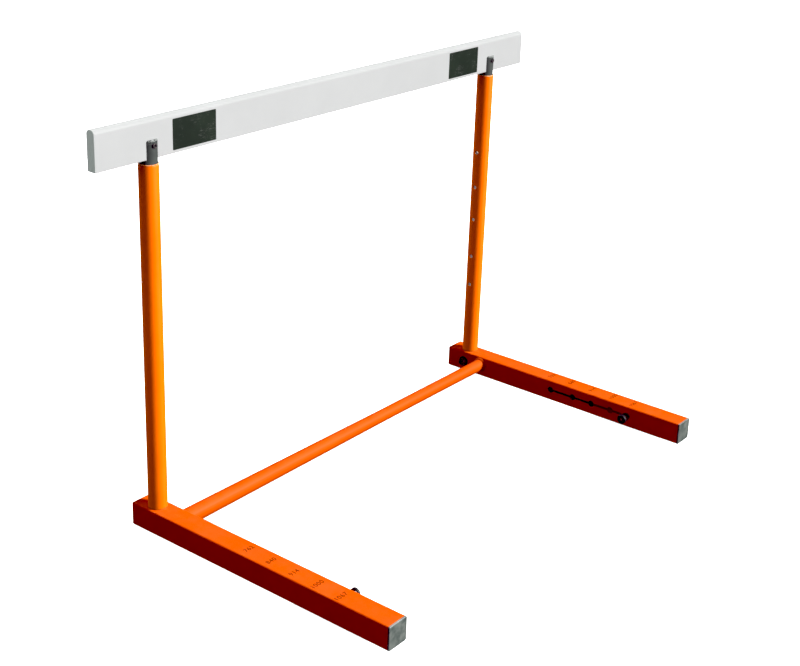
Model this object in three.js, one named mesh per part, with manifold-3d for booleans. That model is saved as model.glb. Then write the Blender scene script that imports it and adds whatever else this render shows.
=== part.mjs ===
// Track hurdle, in millimetres, +Z up. The bar lies along X, the feet along Y with their toes at -Y.
// Side pieces are built for the left foot, whose inner face looks to +X, and mirrored for the right.
import * as THREE from 'three';
import { mergeVertices, toCreasedNormals } from 'three/addons/utils/BufferGeometryUtils.js';
import Module from 'manifold-3d';

const wasm = await Module();
wasm.setup();

// Resolution
const roundSegments = 48;
const smallSegments = 32;
const cornerSegments = 5;
const coordinates = 3;
const weldTolerance = 1e-4;
const quarterTurn = Math.PI / 2;
const fullTurn = Math.PI * 2;
const creaseAngle = quarterTurn / 3;
const overrun = 1;

// Bar, shown at the lowest of its heights
const barTop = 762;
const heightSteps = [0, 78, 152, 238, 305];
const barLength = 1190;
const barHeight = 70;
const barThickness = 19;
const barEdgeRadius = 8.5;
const barOverhang = 118.5;
const barBottom = barTop - barHeight;

// Dark panels on the bar's front
const panelWidth = 99;
const panelHeight = 53.5;
const panelThickness = 0.6;
const panelSetback = 164.5;
const panelRise = 5.8;

// Feet
const footWidth = 45;
const footWall = 2;
const footCorner = 3;
const footInnerCorner = footCorner - footWall;
const footLength = 596;
const footX = barOverhang - barLength / 2;
const heelEnd = footLength / 2;
const toeEnd = -footLength / 2;
const innerFace = footWidth / 2;
const cavityWidth = footWidth - 2 * footWall;
const cavitySide = cavityWidth / 2;

// Foot ends
const heelPlateThickness = 2;
const heelPlateCorner = 2;
const plugFlange = 3.5;
const plugBevel = 1;
const plugInsertGap = 0.3;
const plugInsertWall = 2.4;
const plugInsertDepth = 18;

// Upright: a fixed inner post and the sleeve that slides on it
const postSetback = 43.5;
const postY = heelEnd - postSetback;
const sleeveRadius = 17.5;
const sleeveWall = 1.5;
const sleeveBore = sleeveRadius - sleeveWall;
const sleeveRimGap = 7.5;
const sleeveTop = barBottom - sleeveRimGap;
const postGap = 0.5;
const postRadius = sleeveBore - postGap;
const postWall = 1.5;
const postBore = postRadius - postWall;
const postHoleGap = 0.3;

// Fork that carries the bar
const forkGap = 0.3;
const forkRadius = sleeveBore - forkGap;
const forkWall = 1.5;
const forkInsert = 64.5;
const forkEar = 34;
const forkCorner = 5;
const forkBottom = sleeveTop - forkInsert;
const forkTop = barBottom + forkEar;
const postHeadroom = 20;
const postTop = forkBottom - postHeadroom;

// Counterweight, shown at its toe end
const weightGap = 0.5;
const weightSide = cavityWidth - 2 * weightGap;
const weightLength = 166;
const weightCorner = 2;
const weightToeGap = 20.2;
const weightToe = toeEnd + plugFlange + plugInsertDepth + weightToeGap;
const weightY = weightToe + weightLength / 2;

// Notched slot in each foot's inner face, with the notches' distances from the one at the toe end
const notchSteps = [192, 135.6, 88.5, 41.1, 0];
const notchPositions = notchSteps.map((step) => weightY + step);
const notchRadius = 6;
const slotHeight = 5;
const slotMargin = 8;
const slotRise = 1.5;
const slotZ = footWidth / 2 + slotRise;
const slotHeelEnd = notchPositions[0] + slotMargin;
const slotToeEnd = notchPositions[notchPositions.length - 1] - slotMargin;

// Bar bolt, washer and nut
const holeGap = 0.3;
const threadGap = 0.15;
const threadEnd = 1.5;
const barBoltRise = 24;
const barBoltZ = barBottom + barBoltRise;
const barBoltRadius = 3;
const barBoltHole = barBoltRadius + holeGap;
const barBoltHeadRadius = 5.3;
const barBoltHeadHeight = 3.2;
const barBoltRim = 0.6;
const barBoltCrown = 3.4;
const socketFlats = 4;
const socketDepth = 1.7;
const barWasherRadius = 6;
const barWasherThickness = 1;
const barNutFlats = 10;
const barNutHeight = 5;

// Post bolt, washer, spacer and captive nut
const postBoltDrop = 0.5;
const postBoltZ = footWidth / 2 - postBoltDrop;
const postBoltRadius = 5;
const postBoltHole = postBoltRadius + holeGap;
const postBoltFlats = 16;
const postBoltHeadHeight = 6.4;
const postWasherRadius = 10;
const postWasherThickness = 2;
const postSpacerRadius = 8;
const postSpacerGap = 0.1;
const postNutGap = 0.2;
const postNutSide = postBore - postNutGap;
const postNutFace = postNutSide - threadGap;
const postNutHeight = 8;
const hexChamfer = 1.2;

// Lock button and its leaf spring, measured from the post's axis
const lockDrop = 87;
const lockZ = postTop - lockDrop;
const buttonTravel = 4.6;
const buttonRadius = 3.7;
const buttonHole = buttonRadius + holeGap;
const lockHoleRadius = buttonRadius + postGap;
const buttonTipGap = 0.2;
const buttonTip = sleeveBore - buttonTipGap;
const buttonDome = 0.3;
const buttonEdge = 1;
const buttonDomeRadius = 2.6;
const buttonFlangeRadius = 5.5;
const buttonFlangeThickness = 1.5;
const buttonFlangeReach = Math.sqrt(postBore ** 2 - buttonFlangeRadius ** 2);
const buttonFlangeFace = buttonFlangeReach - buttonTravel - holeGap;
const buttonFlangeBack = buttonFlangeFace - buttonFlangeThickness;
const leafThickness = 0.8;
const leafWidth = 9;
const leafGap = 0.1;
const leafFront = buttonFlangeBack - leafGap - leafThickness / 2;
const leafBack = leafGap + leafThickness / 2 - Math.sqrt(postBore ** 2 - (leafWidth / 2 + leafGap) ** 2);
const leafTop = 5;
const leafBend = 6;
const leafBottom = 40;
const leafTurn = 3;

// Brace between the feet
const braceSetback = 45;
const braceRise = 4;
const braceY = postY - braceSetback;
const braceZ = footWidth / 2 + braceRise;
const braceRadius = 13;
const braceWall = 2;
const braceWeld = 4;

// Plunger knob, with the collar that fills a notch
const knobTravel = 4;
const knobClearance = 0.3;
const collarRadius = notchRadius - weightGap;
const collarLength = 4;
const shieldRadius = 8.5;
const shieldThickness = 1.5;
const neckRadius = 4;
const neckLength = 11;
const spigotRadius = 2.5;
const spigotLength = 4.9;
const stemRadius = slotHeight / 2 - holeGap;
const headRadius = 10;
const headThickness = 6.4;
const headBore = spigotRadius + threadGap;
const headRim = 1.4;
const headDishRadius = 6.4;
const headDishDepth = 1.1;
const collarStart = innerFace + knobClearance;
const collarEnd = collarStart + collarLength;
const shieldEnd = collarEnd + shieldThickness;
const neckEnd = shieldEnd + neckLength;

// Bores in the counterweight, for the collar, the stem and the plunger spring
const counterboreRadius = collarRadius + 2 * holeGap;
const counterboreFloor = collarStart - knobTravel - holeGap - knobClearance;
const guideLength = 6;
const guideRadius = stemRadius + holeGap;
const chamberRadius = 5;
const chamberEnd = counterboreFloor - guideLength;

// Plunger spring and the retainer that it pushes on
const springWire = 0.5;
const springRadius = (stemRadius + chamberRadius) / 2;
const springLength = 10.2;
const springTurns = 5;
const springStepsPerTurn = 20;
const springSides = 6;
const springGap = 0.1;
const retainerLength = 4;
const retainerRadius = chamberRadius - weightGap;
const retainerBore = stemRadius + threadGap;
const retainerOuter = chamberEnd - springLength;
const retainerInner = retainerOuter - retainerLength;
const stemEnd = retainerInner - threadEnd;

// Finishes
const finishes = {
  orangePaint: { color: 0xff6a10, roughness: 0.38, metalness: 0.0 },
  greyBoard: { color: 0xdcdcdc, roughness: 0.42, metalness: 0.0 },
  darkSheet: { color: 0x2f3a31, roughness: 0.55, metalness: 0.0 },
  darkSteel: { color: 0x4a4e4f, roughness: 0.45, metalness: 0.9 },
  postSteel: { color: 0xa9adb0, roughness: 0.35, metalness: 0.95 },
  blackPlastic: { color: 0x26292a, roughness: 0.5, metalness: 0.0 },
  greyPlastic: { color: 0x6f7a76, roughness: 0.55, metalness: 0.0 },
  blackBolt: { color: 0x1f2122, roughness: 0.4, metalness: 0.85 },
  zincSteel: { color: 0xb4b5ae, roughness: 0.35, metalness: 0.9 },
  springSteel: { color: 0x8f9294, roughness: 0.3, metalness: 0.95 },
  weightPaint: { color: 0xc83a12, roughness: 0.55, metalness: 0.0 },
};

// Solids and booleans
function toSolid(geometry) {
  const bare = geometry.clone();
  bare.deleteAttribute('normal');
  bare.deleteAttribute('uv');
  const merged = mergeVertices(bare, weldTolerance);
  const position = merged.attributes.position;
  const triangles = [];
  let volume = 0;
  const [a, b, c] = [new THREE.Vector3(), new THREE.Vector3(), new THREE.Vector3()];
  for (let i = 0; i < merged.index.count; i += coordinates) {
    const corners = [merged.index.getX(i), merged.index.getX(i + 1), merged.index.getX(i + 2)];
    if (new Set(corners).size < coordinates) continue;
    triangles.push(corners);
    a.fromBufferAttribute(position, corners[0]);
    b.fromBufferAttribute(position, corners[1]);
    c.fromBufferAttribute(position, corners[2]);
    volume += a.dot(b.cross(c));
  }
  const outward = volume > 0 ? triangles : triangles.map(([p, q, r]) => [p, r, q]);
  return new wasm.Manifold(new wasm.Mesh({
    numProp: coordinates,
    vertProperties: new Float32Array(position.array),
    triVerts: new Uint32Array(outward.flat()),
  }));
}

function fromSolid(body) {
  const mesh = body.getMesh();
  const geometry = new THREE.BufferGeometry();
  geometry.setAttribute('position', new THREE.Float32BufferAttribute(mesh.vertProperties, coordinates));
  geometry.setIndex(new THREE.Uint32BufferAttribute(mesh.triVerts, 1));
  return geometry;
}

function join(...parts) {
  return fromSolid(parts.map(toSolid).reduce((whole, part) => whole.add(part)));
}

function cut(body, ...tools) {
  return fromSolid(tools.map(toSolid).reduce((whole, tool) => whole.subtract(tool), toSolid(body)));
}

function common(...parts) {
  return fromSolid(parts.map(toSolid).reduce((whole, part) => whole.intersect(part)));
}

// Basic forms, each rising along +Z from its base
function turned(profile, segments = roundSegments) {
  const points = profile.map(([radius, height]) => new THREE.Vector2(radius, height));
  return new THREE.LatheGeometry(points, segments).rotateX(quarterTurn);
}

function rod(radius, from, to, segments = roundSegments) {
  return turned([[0, from], [radius, from], [radius, to], [0, to]], segments);
}

function pipe(outer, inner, from, to, segments = roundSegments) {
  return turned([[inner, from], [outer, from], [outer, to], [inner, to], [inner, from]], segments);
}

function roundedOutline(width, height, radius) {
  const [w, h] = [width / 2, height / 2];
  const shape = new THREE.Shape();
  shape.moveTo(-w + radius, -h);
  shape.lineTo(w - radius, -h);
  shape.absarc(w - radius, -h + radius, radius, -quarterTurn, 0);
  shape.lineTo(w, h - radius);
  shape.absarc(w - radius, h - radius, radius, 0, quarterTurn);
  shape.lineTo(-w + radius, h);
  shape.absarc(-w + radius, h - radius, radius, quarterTurn, 2 * quarterTurn);
  shape.lineTo(-w, -h + radius);
  shape.absarc(-w + radius, -h + radius, radius, 2 * quarterTurn, -quarterTurn);
  return shape;
}

function prism(shape, from, to) {
  const settings = { depth: to - from, bevelEnabled: false, curveSegments: cornerSegments };
  return new THREE.ExtrudeGeometry(shape, settings).translate(0, 0, from);
}

function squarePrism(width, radius, from, to) {
  return prism(roundedOutline(width, width, radius), from, to);
}

function block(from, to) {
  const size = to.map((value, i) => value - from[i]);
  const centre = to.map((value, i) => (value + from[i]) / 2);
  return new THREE.BoxGeometry(...size).translate(...centre);
}

function hexPrism(acrossFlats, from, to) {
  const radius = acrossFlats / 2 / Math.cos(quarterTurn / 3);
  return rod(radius, from, to, 6);
}

function chamferedHex(acrossFlats, height) {
  const corner = acrossFlats / 2 / Math.cos(quarterTurn / 3);
  const top = corner - hexChamfer;
  const rim = height - hexChamfer / 2;
  const crown = turned([[0, 0], [corner, 0], [corner, rim], [top, height], [0, height]]);
  return common(hexPrism(acrossFlats, 0, height), crown);
}

// Turning from +Z to another axis
function alongX(geometry) {
  return geometry.rotateY(quarterTurn);
}

function alongY(geometry) {
  return geometry.rotateX(-quarterTurn);
}

function againstY(geometry) {
  return geometry.rotateX(quarterTurn);
}

// Naming and placing
const group = new THREE.Group();

function add(name, geometry, finish) {
  const solid = fromSolid(toSolid(geometry));
  const mesh = new THREE.Mesh(toCreasedNormals(solid, creaseAngle), new THREE.MeshStandardMaterial(finish));
  mesh.name = name;
  group.add(mesh);
}

function addPair(name, geometry, finish) {
  add(`left_${name}`, geometry, finish);
  add(`right_${name}`, geometry.clone().scale(-1, 1, 1), finish);
}

function onFoot(geometry, y, z) {
  return geometry.translate(footX, y, z);
}

// Feet
function footTube() {
  const outer = squarePrism(footWidth, footCorner, toeEnd + plugFlange, heelEnd);
  const cavity = squarePrism(cavityWidth, footInnerCorner, toeEnd, heelEnd + overrun);
  const tube = onFoot(alongY(cut(outer, cavity)), 0, footWidth / 2);
  const topWall = [footWidth - footWall - overrun, footWidth + overrun];
  const postHole = onFoot(rod(postRadius + postHoleGap, ...topWall), postY, 0);
  const wallRod = (radius) => alongX(rod(radius, cavitySide - overrun, innerFace + overrun, smallSegments));
  const slot = block(
    [footX + cavitySide - overrun, slotToeEnd + slotHeight / 2, slotZ - slotHeight / 2],
    [footX + innerFace + overrun, slotHeelEnd - slotHeight / 2, slotZ + slotHeight / 2],
  );
  const slotEnds = [slotToeEnd + slotHeight / 2, slotHeelEnd - slotHeight / 2];
  const ends = slotEnds.map((y) => onFoot(wallRod(slotHeight / 2), y, slotZ));
  const notches = notchPositions.map((y) => onFoot(wallRod(notchRadius), y, slotZ));
  const boltHole = onFoot(wallRod(postBoltHole), postY, postBoltZ);
  return cut(tube, postHole, slot, ...ends, ...notches, boltHole);
}

function heelPlate() {
  const plate = squarePrism(cavityWidth, heelPlateCorner, heelEnd - heelPlateThickness, heelEnd);
  return onFoot(alongY(plate), 0, footWidth / 2);
}

function toePlug() {
  const bevelled = new THREE.ExtrudeGeometry(roundedOutline(footWidth, footWidth, footCorner), {
    depth: plugFlange - 2 * plugBevel,
    bevelThickness: plugBevel,
    bevelSize: plugBevel,
    bevelOffset: -plugBevel,
    bevelSegments: 1,
    curveSegments: cornerSegments,
  }).translate(0, 0, toeEnd + plugBevel);
  const straight = squarePrism(footWidth, footCorner, toeEnd + plugFlange / 2, toeEnd + plugFlange);
  const insertWidth = cavityWidth - 2 * plugInsertGap;
  const insertEnd = toeEnd + plugFlange + plugInsertDepth;
  const insert = squarePrism(insertWidth, footInnerCorner, toeEnd + plugFlange / 2, insertEnd);
  const hollowWidth = insertWidth - 2 * plugInsertWall;
  const hollow = squarePrism(hollowWidth, footInnerCorner, toeEnd + plugFlange, insertEnd + overrun);
  return onFoot(alongY(cut(join(bevelled, straight, insert), hollow)), 0, footWidth / 2);
}

addPair('foot_tube', footTube(), finishes.orangePaint);
addPair('heel_plate', heelPlate(), finishes.orangePaint);
addPair('toe_plug', toePlug(), finishes.greyPlastic);

// Brace
function brace() {
  const steps = Array.from({ length: cornerSegments + 1 }, (_, i) => (quarterTurn * i) / cornerSegments);
  const weldRadius = braceRadius + braceWeld;
  const fillet = steps.map((a) => {
    return [weldRadius - braceWeld * Math.sin(a), braceWeld - braceWeld * Math.cos(a)];
  });
  const reach = -footX - innerFace;
  const lowEnd = fillet.map(([radius, height]) => [radius, height - reach]);
  const highEnd = fillet.map(([radius, height]) => [radius, reach - height]).reverse();
  const bore = braceRadius - braceWall;
  return alongX(turned([[bore, -reach], ...lowEnd, ...highEnd, [bore, reach], [bore, -reach]]));
}

add('brace_tube', brace().translate(0, braceY, braceZ), finishes.orangePaint);

// Fixed post and what fastens it in the foot
function innerPost() {
  const tube = pipe(postRadius, postBore, footWall, postTop);
  const openings = [[postBoltHole, postBoltZ], [buttonHole, lockZ]].map(([radius, z]) => {
    return alongX(rod(radius, 0, postRadius + overrun, smallSegments)).translate(0, 0, z);
  });
  return onFoot(cut(tube, ...openings), postY, 0);
}

function postSpacer() {
  const ring = alongX(pipe(postSpacerRadius, postBoltHole, postNutFace, cavitySide, smallSegments));
  const saddle = rod(postRadius + postSpacerGap, -footWidth, footWidth);
  return onFoot(cut(ring, saddle), postY, postBoltZ);
}

function postBolt() {
  const seat = innerFace + postWasherThickness;
  const head = chamferedHex(postBoltFlats, postBoltHeadHeight).translate(0, 0, seat);
  const tip = postNutFace - postNutHeight - threadEnd;
  const shank = rod(postBoltRadius, tip, seat + overrun, smallSegments);
  return onFoot(alongX(join(head, shank)), postY, postBoltZ);
}

function postNut() {
  const hex = alongX(hexPrism(postBoltFlats, postNutFace - postNutHeight, postNutFace));
  const bore = alongX(rod(postBoltRadius + threadGap, 0, postRadius, smallSegments));
  const fitted = common(hex, rod(postNutSide, -footWidth, footWidth));
  return onFoot(cut(fitted, bore), postY, postBoltZ);
}

const postWasherSpan = [innerFace, innerFace + postWasherThickness];
const postWasher = pipe(postWasherRadius, postBoltHole, ...postWasherSpan, smallSegments);

addPair('inner_post', innerPost(), finishes.postSteel);
addPair('post_spacer', postSpacer(), finishes.zincSteel);
addPair('post_bolt', postBolt(), finishes.blackBolt);
addPair('post_washer', onFoot(alongX(postWasher), postY, postBoltZ), finishes.blackBolt);
addPair('post_nut', postNut(), finishes.zincSteel);

// Lock button and leaf spring
function lockButton() {
  return onFoot(alongX(turned([
    [0, buttonFlangeBack],
    [buttonFlangeRadius, buttonFlangeBack],
    [buttonFlangeRadius, buttonFlangeFace],
    [buttonRadius, buttonFlangeFace],
    [buttonRadius, buttonTip - buttonEdge],
    [buttonDomeRadius, buttonTip - buttonDome],
    [0, buttonTip],
  ], smallSegments)), postY, lockZ);
}

function strip(line, thickness) {
  const edge = (side) => line.map((point, i) => {
    const before = line[Math.max(i - 1, 0)];
    const after = line[Math.min(i + 1, line.length - 1)];
    const along = new THREE.Vector2(after[0] - before[0], after[1] - before[1]).normalize();
    const reach = (side * thickness) / 2;
    return new THREE.Vector2(point[0] - along.y * reach, point[1] + along.x * reach);
  });
  return new THREE.Shape([...edge(1), ...edge(-1).reverse()]);
}

function leafSpring() {
  const middle = (leafFront + leafBack) / 2;
  const foot = Array.from({ length: 2 * cornerSegments + 1 }, (_, i) => {
    const angle = (quarterTurn * i) / cornerSegments;
    return [middle + leafTurn * Math.cos(angle), -leafBottom + leafTurn - leafTurn * Math.sin(angle)];
  });
  const line = [
    [leafFront, leafTop],
    [leafFront, -leafBend],
    ...foot,
    [leafBack, -leafBend],
    [leafBack, leafTop],
  ];
  const leaf = prism(strip(line, leafThickness), -leafWidth / 2, leafWidth / 2);
  return onFoot(leaf.rotateX(quarterTurn), postY, lockZ);
}

addPair('lock_button', lockButton(), finishes.zincSteel);
addPair('button_spring', leafSpring(), finishes.springSteel);

// Sliding sleeve with one hole for each bar height
function sleeve() {
  const tube = pipe(sleeveRadius, sleeveBore, footWidth, sleeveTop);
  const holes = heightSteps.map((step) => {
    const hole = alongX(rod(lockHoleRadius, 0, sleeveRadius + overrun, smallSegments));
    return hole.translate(0, 0, lockZ - step);
  });
  return onFoot(cut(tube, ...holes), postY, 0);
}

addPair('outer_sleeve', sleeve(), finishes.orangePaint);

// Fork whose two ears hold the bar
function fork() {
  const tube = pipe(forkRadius, forkRadius - forkWall, forkBottom, forkTop);
  const slotSide = forkRadius + overrun;
  const slot = block(
    [-slotSide, -barThickness / 2, barBottom],
    [slotSide, barThickness / 2, forkTop + overrun],
  );
  const stem = rod(slotSide, forkBottom - overrun, barBottom);
  const earWidth = 2 * Math.sqrt(forkRadius ** 2 - (barThickness / 2) ** 2);
  const earHeight = 2 * (forkTop - barBottom);
  const earOutline = roundedOutline(earWidth, earHeight, forkCorner);
  const ears = alongY(prism(earOutline, -slotSide, slotSide)).translate(0, 0, forkTop - earHeight / 2);
  const boltHole = alongY(rod(barBoltHole, -slotSide, slotSide, smallSegments)).translate(0, 0, barBoltZ);
  return onFoot(cut(common(tube, join(stem, ears)), slot, boltHole), postY, 0);
}

addPair('bar_fork', fork(), finishes.darkSteel);

// Bar and its panels
function bar() {
  const [w, h, r] = [barThickness / 2, barHeight / 2, barEdgeRadius];
  const shape = new THREE.Shape();
  shape.moveTo(-w, -h);
  shape.lineTo(w, -h);
  shape.lineTo(w, h - r);
  shape.absarc(w - r, h - r, r, 0, quarterTurn);
  shape.lineTo(-w + r, h);
  shape.absarc(-w + r, h - r, r, quarterTurn, 2 * quarterTurn);
  const beam = prism(shape, -barLength / 2, barLength / 2).rotateX(quarterTurn).rotateZ(quarterTurn);
  const holes = [footX, -footX].map((x) => {
    const side = barThickness / 2 + overrun;
    return alongY(rod(barBoltHole, -side, side, smallSegments)).translate(x, 0, barBoltZ - barBottom - h);
  });
  return cut(beam, ...holes).translate(0, postY, barBottom + h);
}

const barFront = postY - barThickness / 2;
const panelStart = panelSetback - barLength / 2;
const panelLow = barBottom + panelRise;
const panel = block(
  [panelStart, barFront - panelThickness, panelLow],
  [panelStart + panelWidth, barFront, panelLow + panelHeight],
);

add('top_bar', bar(), finishes.greyBoard);
addPair('dark_panel', panel, finishes.darkSheet);

// Bar bolts
function barBolt() {
  const head = turned([
    [0, 0],
    [barBoltHeadRadius, 0],
    [barBoltHeadRadius, barBoltRim],
    [barBoltCrown, barBoltHeadHeight],
    [0, barBoltHeadHeight],
  ], smallSegments);
  const socket = hexPrism(socketFlats, barBoltHeadHeight - socketDepth, barBoltHeadHeight + overrun);
  const grip = 2 * forkRadius + barWasherThickness + barNutHeight + threadEnd;
  const shank = rod(barBoltRadius, -grip, overrun, smallSegments);
  return onFoot(againstY(cut(join(head, shank), socket)), postY - forkRadius, barBoltZ);
}

const barWasher = pipe(barWasherRadius, barBoltHole, 0, barWasherThickness, smallSegments);
const barNut = cut(
  chamferedHex(barNutFlats, barNutHeight),
  rod(barBoltRadius + threadGap, -overrun, barNutHeight + overrun, smallSegments),
);

addPair('bar_bolt', barBolt(), finishes.blackBolt);
addPair('bar_washer', onFoot(alongY(barWasher), postY + forkRadius, barBoltZ), finishes.zincSteel);
addPair(
  'bar_nut',
  onFoot(alongY(barNut), postY + forkRadius + barWasherThickness, barBoltZ),
  finishes.zincSteel,
);

// Counterweight
function counterweight() {
  const side = weightSide / 2;
  const flat = side - weightCorner;
  const outline = new THREE.Shape([
    [-flat, -side], [flat, -side], [side, -flat], [side, flat],
    [flat, side], [-flat, side], [-side, flat], [-side, -flat],
  ].map(([x, y]) => new THREE.Vector2(x, y)));
  const body = alongY(prism(outline, weightY - weightLength / 2, weightY + weightLength / 2));
  const placed = onFoot(body, 0, footWidth / 2);
  const counterbore = alongX(rod(counterboreRadius, counterboreFloor, side + overrun, smallSegments));
  const guide = alongX(rod(guideRadius, chamberEnd - overrun, counterboreFloor + overrun, smallSegments));
  const chamber = alongX(rod(chamberRadius, -side - overrun, chamberEnd, smallSegments));
  return cut(placed, ...[counterbore, guide, chamber].map((hole) => onFoot(hole, weightY, slotZ)));
}

addPair('counterweight', counterweight(), finishes.weightPaint);

// Plunger knob
function knobStem() {
  return onFoot(alongX(turned([
    [0, stemEnd],
    [stemRadius, stemEnd],
    [stemRadius, collarStart],
    [collarRadius, collarStart],
    [collarRadius, collarEnd],
    [shieldRadius, collarEnd],
    [shieldRadius, shieldEnd],
    [neckRadius, shieldEnd],
    [neckRadius, neckEnd],
    [spigotRadius, neckEnd],
    [spigotRadius, neckEnd + spigotLength],
    [0, neckEnd + spigotLength],
  ], smallSegments)), weightY, slotZ);
}

function knobHead() {
  const face = neckEnd + headThickness;
  return onFoot(alongX(turned([
    [headBore, neckEnd],
    [headRadius - headRim, neckEnd],
    [headRadius, neckEnd + headRim],
    [headRadius, face - headRim],
    [headRadius - headRim, face],
    [headDishRadius, face],
    [headDishRadius - headDishDepth, face - headDishDepth],
    [headBore, face - headDishDepth],
    [headBore, neckEnd],
  ], smallSegments)), weightY, slotZ);
}

const retainer = pipe(retainerRadius, retainerBore, retainerInner, retainerOuter, smallSegments);

addPair('knob_stem', knobStem(), finishes.zincSteel);
addPair('knob_head', knobHead(), finishes.blackPlastic);
addPair('knob_retainer', onFoot(alongX(retainer), weightY, slotZ), finishes.zincSteel);

// Plunger spring, a round wire wound along Z
function coil(from, to) {
  const rings = springTurns * springStepsPerTurn + 1;
  const rise = (to - from) / (rings - 1);
  const positions = [];
  const tangent = new THREE.Vector3();
  const outward = new THREE.Vector3();
  const aside = new THREE.Vector3();
  for (let i = 0; i < rings; i += 1) {
    const turn = (fullTurn * i) / springStepsPerTurn;
    outward.set(Math.cos(turn), Math.sin(turn), 0);
    tangent.set(-Math.sin(turn), Math.cos(turn), (rise * springStepsPerTurn) / (fullTurn * springRadius));
    aside.crossVectors(tangent.normalize(), outward);
    for (let k = 0; k < springSides; k += 1) {
      const angle = (fullTurn * k) / springSides;
      const point = outward.clone().multiplyScalar(springRadius + springWire * Math.cos(angle));
      point.addScaledVector(aside, springWire * Math.sin(angle));
      positions.push(point.x, point.y, point.z + from + rise * i);
    }
  }
  const index = [];
  for (let i = 0; i + 1 < rings; i += 1) {
    for (let k = 0; k < springSides; k += 1) {
      const [p, q] = [i * springSides + k, i * springSides + ((k + 1) % springSides)];
      index.push(p, q, q + springSides, p, q + springSides, p + springSides);
    }
  }
  const last = (rings - 1) * springSides;
  for (let k = 1; k + 1 < springSides; k += 1) {
    index.push(0, k + 1, k, last, last + k, last + k + 1);
  }
  const geometry = new THREE.BufferGeometry();
  geometry.setAttribute('position', new THREE.Float32BufferAttribute(positions, coordinates));
  geometry.setIndex(index);
  return geometry;
}

const springFrom = retainerOuter + springGap + springWire;
const springTo = chamberEnd - springGap - springWire;
addPair('plunger_spring', onFoot(alongX(coil(springFrom, springTo)), weightY, slotZ), finishes.springSteel);

export default group;
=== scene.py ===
"""A track hurdle: its detailed pieces and finishes, a pale floor, soft studio light and a camera.

Lengths are in millimetres until a mesh is made. Side pieces are worked out once, with their X
measured from the foot's middle towards the other foot, and then placed on both sides. A shape is
a tuple: points, a list of arrays of faces, the wear of each point, and normals or None.
"""

import bmesh
import bpy
import numpy as np
from mathutils import Matrix


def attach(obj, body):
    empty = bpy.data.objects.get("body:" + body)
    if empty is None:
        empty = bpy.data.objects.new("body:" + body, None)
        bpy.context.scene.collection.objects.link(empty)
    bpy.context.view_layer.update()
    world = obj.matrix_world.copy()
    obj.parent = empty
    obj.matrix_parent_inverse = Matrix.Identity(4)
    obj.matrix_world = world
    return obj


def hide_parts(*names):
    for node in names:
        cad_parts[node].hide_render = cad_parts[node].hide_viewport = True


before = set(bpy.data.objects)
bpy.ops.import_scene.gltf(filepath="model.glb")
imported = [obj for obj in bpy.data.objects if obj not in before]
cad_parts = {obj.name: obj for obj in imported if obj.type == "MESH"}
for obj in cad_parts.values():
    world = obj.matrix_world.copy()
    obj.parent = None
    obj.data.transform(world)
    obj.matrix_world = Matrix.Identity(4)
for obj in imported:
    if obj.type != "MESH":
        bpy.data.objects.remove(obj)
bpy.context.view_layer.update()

MM = 0.001
TINY = 1e-6
# On the sleeves' top rims this value is wear; on the forks' ear tops it paints a highlight band.
RIM_WEAR_AND_HIGHLIGHT = 1.35  # wear of the rims that rub most
FULL = 2 * np.pi
QUARTER = np.pi / 2
SIDES = (("left", 1.0), ("right", -1.0))

# Sizes shared with the solids
FOOT_X = 476.5
FOOT = 45.0
FOOT_WALL = 2.0
FOOT_CORNER = 3.0
TOE, HEEL = -298.0, 298.0
PLUG_FLANGE = 3.5
POST_Y = 254.5
POST_GAP = 0.3
POST_BOLT_HOLE_R, BAR_BOLT_HOLE_R = 5.3, 3.3
SLEEVE_HOLE_R, BUTTON_HOLE_R = 4.2, 4.0
SLEEVE_R, SLEEVE_WALL = 17.5, 1.5
SLEEVE_LOW, SLEEVE_HIGH = 45.0, 684.5
POST_R, POST_WALL = 15.5, 1.5
POST_LOW, POST_HIGH = 2.0, 600.0
FORK_R, FORK_WALL = 15.7, 1.5
FORK_LOW, FORK_HIGH = 620.0, 726.0
BAR_LENGTH, BAR_HEIGHT, BAR_THICKNESS = 1190.0, 70.0, 19.0
BAR_LOW, BAR_TOP = 692.0, 762.0
BAR_EDGE = 8.5
EAR_CORNER = 5.0
PANEL_WIDTH, PANEL_HEIGHT, PANEL_THICKNESS = 99.0, 53.5, 0.6
PANEL_OUTER_X, PANEL_RISE = 430.5, 5.8
BAR_FRONT = POST_Y - BAR_THICKNESS / 2
BOLT_Z = 716.0
POST_BOLT_Z = 22.0
LOCK_Z = 513.0
LOCK_HOLES = [LOCK_Z - step for step in (0, 78, 152, 238, 305)]
SLOT_Z = 24.0
NOTCH_Y = [18.7, -37.7, -84.8, -132.2, -173.3]
SLOT_ENDS = (-181.3, 26.7)
KNOB_Y = NOTCH_Y[-1]
BRACE_Y, BRACE_Z, BRACE_R = 209.5, 26.5, 13.0
INNER_FACE = FOOT / 2  # X of the foot's inner face
FOOT_MIDDLE = FOOT / 2  # Z of the foot's middle

# Wider than in the solids, as the photograph shows them
SLOT_HALF, NOTCH_R = 2.9, 7.2

# ---- meshes


def face_normals(points, faces):
    """Area-weighted normal of each face, from the cross products round its first corner."""
    corners = points[faces]
    arms = corners[:, 1:] - corners[:, :1]
    return 0.5 * np.cross(arms[:, :-1], arms[:, 1:]).sum(axis=1)


def unit(vectors):
    """Vectors of length 1; one without a length stays 0."""
    return vectors / np.maximum(np.linalg.norm(vectors, axis=-1, keepdims=True), 1e-12)


def soft_normals(points, groups):
    """Normal of each point, from the sum of its faces' area-weighted normals."""
    total = np.zeros_like(points)
    for faces in groups:
        normal = face_normals(points, faces)
        for k in range(faces.shape[1]):
            np.add.at(total, faces[:, k], normal)
    return unit(total)


def volume(points, groups):
    """Six times the volume inside, which is negative where the faces point in."""
    return sum(
        np.einsum("ij,ij->", points[faces].mean(axis=1), 2 * face_normals(points, faces))
        for faces in groups
    )


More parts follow.
